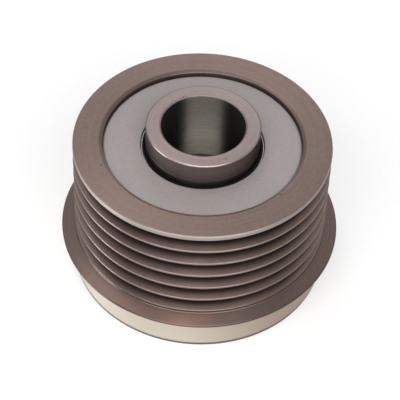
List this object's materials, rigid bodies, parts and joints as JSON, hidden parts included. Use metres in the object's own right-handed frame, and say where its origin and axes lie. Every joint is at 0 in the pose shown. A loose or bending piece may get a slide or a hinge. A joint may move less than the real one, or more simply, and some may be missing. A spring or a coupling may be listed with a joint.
{
  "type": "overrunning belt pulley",
  "caption": "Ribbed alternator belt pulley with a roller one-way clutch and needle bearings between rim and hub, a projecting hub collar and a flanged rim.",
  "frame": {"origin": "centre of the rim's front face, on which the pulley stands", "axes": "+Z along the pulley's axis, from the front face with the tool socket to the rear face with the hub's collar; +X through the first needle and the first clutch roller"},
  "size_m": [0.0574, 0.0574, 0.037],
  "materials": {
    "rim_steel": "satin, phosphate brown-grey, turned",
    "hub_steel": "ground satin steel",
    "plate_steel": "matt fine-grained grey",
    "seal_rubber": "black, matt",
    "washer_steel": "plain stamped steel",
    "bearing_steel": "ground and polished",
    "cage_plastic": "moulded, glass-filled",
    "spring_steel": "bright spring strip"
  },
  "bodies": {
    "rim": {"pulley_rim": "rim_steel", "clutch_sleeve": "bearing_steel", "rear_thrust_washer": "washer_steel", "front_thrust_washer": "washer_steel", "rear_seal_ring": "seal_rubber", "front_seal_ring": "seal_rubber", "rear_seal_plate": "plate_steel", "front_seal_plate": "plate_steel", "clutch_cage": "cage_plastic", "clutch_spring_01": "spring_steel", "clutch_spring_02": "spring_steel", "clutch_spring_03": "spring_steel", "clutch_spring_04": "spring_steel", "clutch_spring_05": "spring_steel", "clutch_spring_06": "spring_steel", "clutch_spring_07": "spring_steel", "clutch_spring_08": "spring_steel", "clutch_spring_09": "spring_steel", "clutch_spring_10": "spring_steel"},
    "hub": {"hub": "hub_steel"},
    "rear_needle_cage": {"rear_needle_cage": "cage_plastic"},
    "rear_needle_01": {"rear_needle_01": "bearing_steel"},
    "rear_needle_02": {"rear_needle_02": "bearing_steel"},
    "rear_needle_03": {"rear_needle_03": "bearing_steel"},
    "rear_needle_04": {"rear_needle_04": "bearing_steel"},
    "rear_needle_05": {"rear_needle_05": "bearing_steel"},
    "rear_needle_06": {"rear_needle_06": "bearing_steel"},
    "rear_needle_07": {"rear_needle_07": "bearing_steel"},
    "rear_needle_08": {"rear_needle_08": "bearing_steel"},
    "rear_needle_09": {"rear_needle_09": "bearing_steel"},
    "rear_needle_10": {"rear_needle_10": "bearing_steel"},
    "rear_needle_11": {"rear_needle_11": "bearing_steel"},
    "rear_needle_12": {"rear_needle_12": "bearing_steel"},
    "front_needle_cage": {"front_needle_cage": "cage_plastic"},
    "front_needle_01": {"front_needle_01": "bearing_steel"},
    "front_needle_02": {"front_needle_02": "bearing_steel"},
    "front_needle_03": {"front_needle_03": "bearing_steel"},
    "front_needle_04": {"front_needle_04": "bearing_steel"},
    "front_needle_05": {"front_needle_05": "bearing_steel"},
    "front_needle_06": {"front_needle_06": "bearing_steel"},
    "front_needle_07": {"front_needle_07": "bearing_steel"},
    "front_needle_08": {"front_needle_08": "bearing_steel"},
    "front_needle_09": {"front_needle_09": "bearing_steel"},
    "front_needle_10": {"front_needle_10": "bearing_steel"},
    "front_needle_11": {"front_needle_11": "bearing_steel"},
    "front_needle_12": {"front_needle_12": "bearing_steel"},
    "clutch_roller_01": {"clutch_roller_01": "bearing_steel"},
    "clutch_roller_02": {"clutch_roller_02": "bearing_steel"},
    "clutch_roller_03": {"clutch_roller_03": "bearing_steel"},
    "clutch_roller_04": {"clutch_roller_04": "bearing_steel"},
    "clutch_roller_05": {"clutch_roller_05": "bearing_steel"},
    "clutch_roller_06": {"clutch_roller_06": "bearing_steel"},
    "clutch_roller_07": {"clutch_roller_07": "bearing_steel"},
    "clutch_roller_08": {"clutch_roller_08": "bearing_steel"},
    "clutch_roller_09": {"clutch_roller_09": "bearing_steel"},
    "clutch_roller_10": {"clutch_roller_10": "bearing_steel"}
  },
  "joints": [
    {"name": "hub_spin", "type": "hinge", "parent": "rim", "child": "hub", "pos_m": [0, 0, 0], "axis": [0, 0, 1], "continuous": true},
    {"name": "rear_cage_orbit", "type": "hinge", "parent": "rim", "child": "rear_needle_cage", "pos_m": [0, 0, 0], "axis": [0, 0, 1], "continuous": true},
    {"name": "rear_needle_01_spin", "type": "hinge", "parent": "rear_needle_cage", "child": "rear_needle_01", "pos_m": [0.0155, 0, 0.02605], "axis": [0, 0, 1], "continuous": true},
    {"name": "rear_needle_02_spin", "type": "hinge", "parent": "rear_needle_cage", "child": "rear_needle_02", "pos_m": [0.01342, 0.00775, 0.02605], "axis": [0, 0, 1], "continuous": true},
    {"name": "rear_needle_03_spin", "type": "hinge", "parent": "rear_needle_cage", "child": "rear_needle_03", "pos_m": [0.00775, 0.01342, 0.02605], "axis": [0, 0, 1], "continuous": true},
    {"name": "rear_needle_04_spin", "type": "hinge", "parent": "rear_needle_cage", "child": "rear_needle_04", "pos_m": [0, 0.0155, 0.02605], "axis": [0, 0, 1], "continuous": true},
    {"name": "rear_needle_05_spin", "type": "hinge", "parent": "rear_needle_cage", "child": "rear_needle_05", "pos_m": [-0.00775, 0.01342, 0.02605], "axis": [0, 0, 1], "continuous": true},
    {"name": "rear_needle_06_spin", "type": "hinge", "parent": "rear_needle_cage", "child": "rear_needle_06", "pos_m": [-0.01342, 0.00775, 0.02605], "axis": [0, 0, 1], "continuous": true},
    {"name": "rear_needle_07_spin", "type": "hinge", "parent": "rear_needle_cage", "child": "rear_needle_07", "pos_m": [-0.0155, 0, 0.02605], "axis": [0, 0, 1], "continuous": true},
    {"name": "rear_needle_08_spin", "type": "hinge", "parent": "rear_needle_cage", "child": "rear_needle_08", "pos_m": [-0.01342, -0.00775, 0.02605], "axis": [0, 0, 1], "continuous": true},
    {"name": "rear_needle_09_spin", "type": "hinge", "parent": "rear_needle_cage", "child": "rear_needle_09", "pos_m": [-0.00775, -0.01342, 0.02605], "axis": [0, 0, 1], "continuous": true},
    {"name": "rear_needle_10_spin", "type": "hinge", "parent": "rear_needle_cage", "child": "rear_needle_10", "pos_m": [0, -0.0155, 0.02605], "axis": [0, 0, 1], "continuous": true},
    {"name": "rear_needle_11_spin", "type": "hinge", "parent": "rear_needle_cage", "child": "rear_needle_11", "pos_m": [0.00775, -0.01342, 0.02605], "axis": [0, 0, 1], "continuous": true},
    {"name": "rear_needle_12_spin", "type": "hinge", "parent": "rear_needle_cage", "child": "rear_needle_12", "pos_m": [0.01342, -0.00775, 0.02605], "axis": [0, 0, 1], "continuous": true},
    {"name": "front_cage_orbit", "type": "hinge", "parent": "rim", "child": "front_needle_cage", "pos_m": [0, 0, 0], "axis": [0, 0, 1], "continuous": true},
    {"name": "front_needle_01_spin", "type": "hinge", "parent": "front_needle_cage", "child": "front_needle_01", "pos_m": [0.0155, 0, 0.01055], "axis": [0, 0, 1], "continuous": true},
    {"name": "front_needle_02_spin", "type": "hinge", "parent": "front_needle_cage", "child": "front_needle_02", "pos_m": [0.01342, 0.00775, 0.01055], "axis": [0, 0, 1], "continuous": true},
    {"name": "front_needle_03_spin", "type": "hinge", "parent": "front_needle_cage", "child": "front_needle_03", "pos_m": [0.00775, 0.01342, 0.01055], "axis": [0, 0, 1], "continuous": true},
    {"name": "front_needle_04_spin", "type": "hinge", "parent": "front_needle_cage", "child": "front_needle_04", "pos_m": [0, 0.0155, 0.01055], "axis": [0, 0, 1], "continuous": true},
    {"name": "front_needle_05_spin", "type": "hinge", "parent": "front_needle_cage", "child": "front_needle_05", "pos_m": [-0.00775, 0.01342, 0.01055], "axis": [0, 0, 1], "continuous": true},
    {"name": "front_needle_06_spin", "type": "hinge", "parent": "front_needle_cage", "child": "front_needle_06", "pos_m": [-0.01342, 0.00775, 0.01055], "axis": [0, 0, 1], "continuous": true},
    {"name": "front_needle_07_spin", "type": "hinge", "parent": "front_needle_cage", "child": "front_needle_07", "pos_m": [-0.0155, 0, 0.01055], "axis": [0, 0, 1], "continuous": true},
    {"name": "front_needle_08_spin", "type": "hinge", "parent": "front_needle_cage", "child": "front_needle_08", "pos_m": [-0.01342, -0.00775, 0.01055], "axis": [0, 0, 1], "continuous": true},
    {"name": "front_needle_09_spin", "type": "hinge", "parent": "front_needle_cage", "child": "front_needle_09", "pos_m": [-0.00775, -0.01342, 0.01055], "axis": [0, 0, 1], "continuous": true},
    {"name": "front_needle_10_spin", "type": "hinge", "parent": "front_needle_cage", "child": "front_needle_10", "pos_m": [0, -0.0155, 0.01055], "axis": [0, 0, 1], "continuous": true},
    {"name": "front_needle_11_spin", "type": "hinge", "parent": "front_needle_cage", "child": "front_needle_11", "pos_m": [0.00775, -0.01342, 0.01055], "axis": [0, 0, 1], "continuous": true},
    {"name": "front_needle_12_spin", "type": "hinge", "parent": "front_needle_cage", "child": "front_needle_12", "pos_m": [0.01342, -0.00775, 0.01055], "axis": [0, 0, 1], "continuous": true},
    {"name": "clutch_roller_01_wedge", "type": "hinge", "parent": "rim", "child": "clutch_roller_01", "pos_m": [0, 0, 0.0183], "axis": [0, 0, 1], "range_deg": [0, 3], "stiffness_Nm_per_rad": 0.02, "deforming": ["clutch_spring_01"]},
    {"name": "clutch_roller_02_wedge", "type": "hinge", "parent": "rim", "child": "clutch_roller_02", "pos_m": [0, 0, 0.0183], "axis": [0, 0, 1], "range_deg": [0, 3], "stiffness_Nm_per_rad": 0.02, "deforming": ["clutch_spring_02"]},
    {"name": "clutch_roller_03_wedge", "type": "hinge", "parent": "rim", "child": "clutch_roller_03", "pos_m": [0, 0, 0.0183], "axis": [0, 0, 1], "range_deg": [0, 3], "stiffness_Nm_per_rad": 0.02, "deforming": ["clutch_spring_03"]},
    {"name": "clutch_roller_04_wedge", "type": "hinge", "parent": "rim", "child": "clutch_roller_04", "pos_m": [0, 0, 0.0183], "axis": [0, 0, 1], "range_deg": [0, 3], "stiffness_Nm_per_rad": 0.02, "deforming": ["clutch_spring_04"]},
    {"name": "clutch_roller_05_wedge", "type": "hinge", "parent": "rim", "child": "clutch_roller_05", "pos_m": [0, 0, 0.0183], "axis": [0, 0, 1], "range_deg": [0, 3], "stiffness_Nm_per_rad": 0.02, "deforming": ["clutch_spring_05"]},
    {"name": "clutch_roller_06_wedge", "type": "hinge", "parent": "rim", "child": "clutch_roller_06", "pos_m": [0, 0, 0.0183], "axis": [0, 0, 1], "range_deg": [0, 3], "stiffness_Nm_per_rad": 0.02, "deforming": ["clutch_spring_06"]},
    {"name": "clutch_roller_07_wedge", "type": "hinge", "parent": "rim", "child": "clutch_roller_07", "pos_m": [0, 0, 0.0183], "axis": [0, 0, 1], "range_deg": [0, 3], "stiffness_Nm_per_rad": 0.02, "deforming": ["clutch_spring_07"]},
    {"name": "clutch_roller_08_wedge", "type": "hinge", "parent": "rim", "child": "clutch_roller_08", "pos_m": [0, 0, 0.0183], "axis": [0, 0, 1], "range_deg": [0, 3], "stiffness_Nm_per_rad": 0.02, "deforming": ["clutch_spring_08"]},
    {"name": "clutch_roller_09_wedge", "type": "hinge", "parent": "rim", "child": "clutch_roller_09", "pos_m": [0, 0, 0.0183], "axis": [0, 0, 1], "range_deg": [0, 3], "stiffness_Nm_per_rad": 0.02, "deforming": ["clutch_spring_09"]},
    {"name": "clutch_roller_10_wedge", "type": "hinge", "parent": "rim", "child": "clutch_roller_10", "pos_m": [0, 0, 0.0183], "axis": [0, 0, 1], "range_deg": [0, 3], "stiffness_Nm_per_rad": 0.02, "deforming": ["clutch_spring_10"]}
  ],
  "couplings": [
    {"joint": "rear_cage_orbit", "follows": "hub_spin", "ratio": 0.45161},
    {"joint": "rear_needle_01_spin", "follows": "hub_spin", "ratio": -5.1183},
    {"joint": "rear_needle_02_spin", "follows": "hub_spin", "ratio": -5.1183},
    {"joint": "rear_needle_03_spin", "follows": "hub_spin", "ratio": -5.1183},
    {"joint": "rear_needle_04_spin", "follows": "hub_spin", "ratio": -5.1183},
    {"joint": "rear_needle_05_spin", "follows": "hub_spin", "ratio": -5.1183},
    {"joint": "rear_needle_06_spin", "follows": "hub_spin", "ratio": -5.1183},
    {"joint": "rear_needle_07_spin", "follows": "hub_spin", "ratio": -5.1183},
    {"joint": "rear_needle_08_spin", "follows": "hub_spin", "ratio": -5.1183},
    {"joint": "rear_needle_09_spin", "follows": "hub_spin", "ratio": -5.1183},
    {"joint": "rear_needle_10_spin", "follows": "hub_spin", "ratio": -5.1183},
    {"joint": "rear_needle_11_spin", "follows": "hub_spin", "ratio": -5.1183},
    {"joint": "rear_needle_12_spin", "follows": "hub_spin", "ratio": -5.1183},
    {"joint": "front_cage_orbit", "follows": "hub_spin", "ratio": 0.45161},
    {"joint": "front_needle_01_spin", "follows": "hub_spin", "ratio": -5.1183},
    {"joint": "front_needle_02_spin", "follows": "hub_spin", "ratio": -5.1183},
    {"joint": "front_needle_03_spin", "follows": "hub_spin", "ratio": -5.1183},
    {"joint": "front_needle_04_spin", "follows": "hub_spin", "ratio": -5.1183},
    {"joint": "front_needle_05_spin", "follows": "hub_spin", "ratio": -5.1183},
    {"joint": "front_needle_06_spin", "follows": "hub_spin", "ratio": -5.1183},
    {"joint": "front_needle_07_spin", "follows": "hub_spin", "ratio": -5.1183},
    {"joint": "front_needle_08_spin", "follows": "hub_spin", "ratio": -5.1183},
    {"joint": "front_needle_09_spin", "follows": "hub_spin", "ratio": -5.1183},
    {"joint": "front_needle_10_spin", "follows": "hub_spin", "ratio": -5.1183},
    {"joint": "front_needle_11_spin", "follows": "hub_spin", "ratio": -5.1183},
    {"joint": "front_needle_12_spin", "follows": "hub_spin", "ratio": -5.1183}
  ]
}
